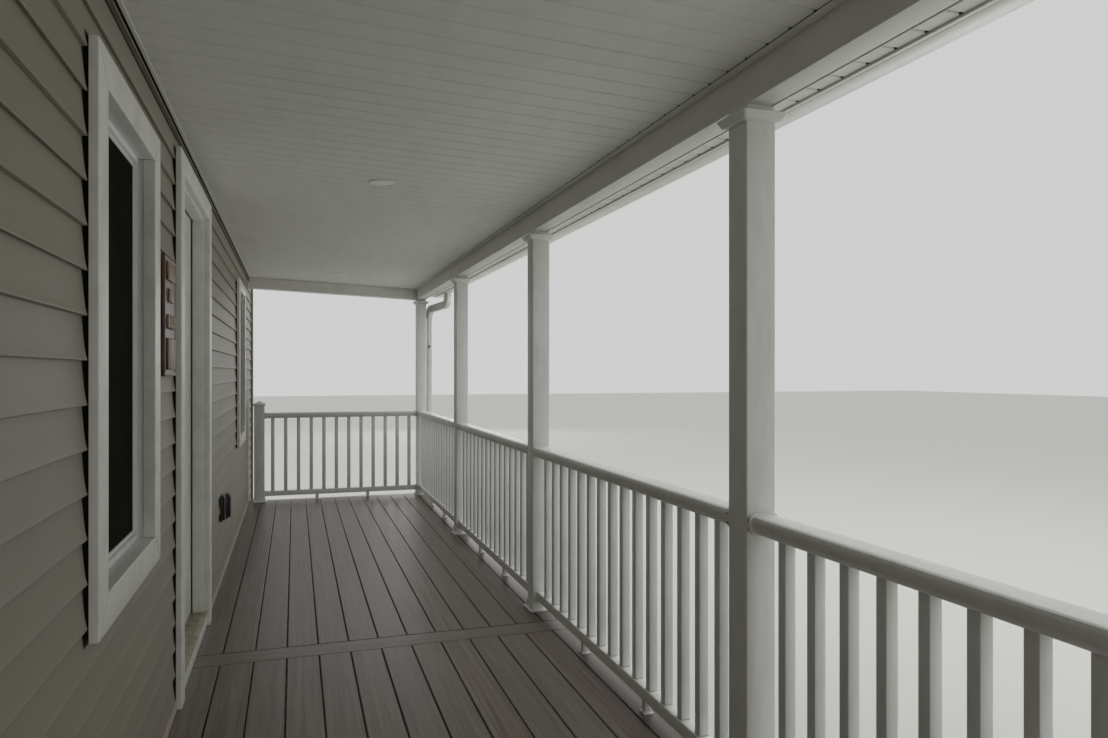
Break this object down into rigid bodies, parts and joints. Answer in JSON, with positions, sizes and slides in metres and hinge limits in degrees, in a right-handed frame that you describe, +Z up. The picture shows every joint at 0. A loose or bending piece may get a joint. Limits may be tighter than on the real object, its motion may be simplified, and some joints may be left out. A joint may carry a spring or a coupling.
{
  "type": "front porch with house wall, railing and shed roof",
  "caption": "Covered front porch: composite deck, square posts, white baluster railing, grooved ceiling, shed roof, and the house wall with its door and windows.",
  "frame": {"origin": "underside of the foundation wall, midway along it, on the inner face of the house wall", "axes": "+X along the house to the far end of the picture's view, +Y into the house, +Z up"},
  "size_m": [10.22, 2.618, 3.65],
  "materials": {
    "concrete": "cast, rough",
    "framing": "sawn, treated",
    "siding": "embossed vinyl, low sheen",
    "white_trim": "smooth board, satin",
    "white_vinyl": "extruded vinyl, satin gloss",
    "window_glass": "dark room behind",
    "insect_screen": "fine mesh in a thin frame",
    "threshold": "mill finish, soiled",
    "door_paint": "painted, satin",
    "hardware": "satin",
    "plaque_wood": "dark stain",
    "outlet_plastic": "moulded",
    "deck_board": "composite board, brushed grain",
    "beam_wrap": "bent sheet, satin",
    "ceiling_vinyl": "grooved vinyl panel",
    "gutter_metal": "satin",
    "shingle": "mineral granules",
    "flashing": "mill finish"
  },
  "bodies": {
    "porch": {"foundation": "concrete", "house_rim": "framing", "wall_near": "framing", "wall_far": "framing", "wall_over_door": "framing", "siding": "siding", "corner_boards": "siding", "base_strip": "white_trim", "window_casings": "white_trim", "window_frames": "white_trim", "window_screens": "insect_screen", "window_sashes": "white_trim", "window_glass": "window_glass", "door_casing": "white_trim", "door_frame": "white_trim", "door_sill": "threshold", "sill_board": "white_trim", "plaque": "plaque_wood", "outlet_covers": "outlet_plastic", "deck_boards_near": "deck_board", "deck_boards_far": "deck_board", "breaker_board": "deck_board", "deck_frame": "framing", "skirt_boards": "white_trim", "piers": "concrete", "posts": "white_vinyl", "post_heads": "white_vinyl", "post_feet": "white_vinyl", "wall_newels": "white_vinyl", "front_rail_1": "white_vinyl", "front_rail_2": "white_vinyl", "front_rail_3": "white_vinyl", "front_rail_4": "white_vinyl", "far_rail": "white_vinyl", "near_rail": "white_vinyl", "beam_front": "beam_wrap", "beam_far": "beam_wrap", "beam_near": "beam_wrap", "ceiling": "ceiling_vinyl", "ceiling_trim": "ceiling_vinyl", "ceiling_lights": "white_trim", "soffit": "ceiling_vinyl", "fascia": "beam_wrap", "gutter": "gutter_metal", "downspout": "gutter_metal", "rafters": "framing", "gable_ends": "white_trim", "roof": "shingle", "roof_flashing": "flashing", "stair_sides": "framing", "stair_treads": "deck_board", "stair_risers": "white_trim"},
    "door": {"door_leaf": "door_paint", "door_knob": "hardware", "door_hinges": "hardware"}
  },
  "joints": [
    {"name": "door_swing", "type": "hinge", "parent": "porch", "child": "door", "pos_m": [0.5165, 0.006, 1.7], "axis": [0, 0, -1], "range_deg": [0, 100]}
  ]
}
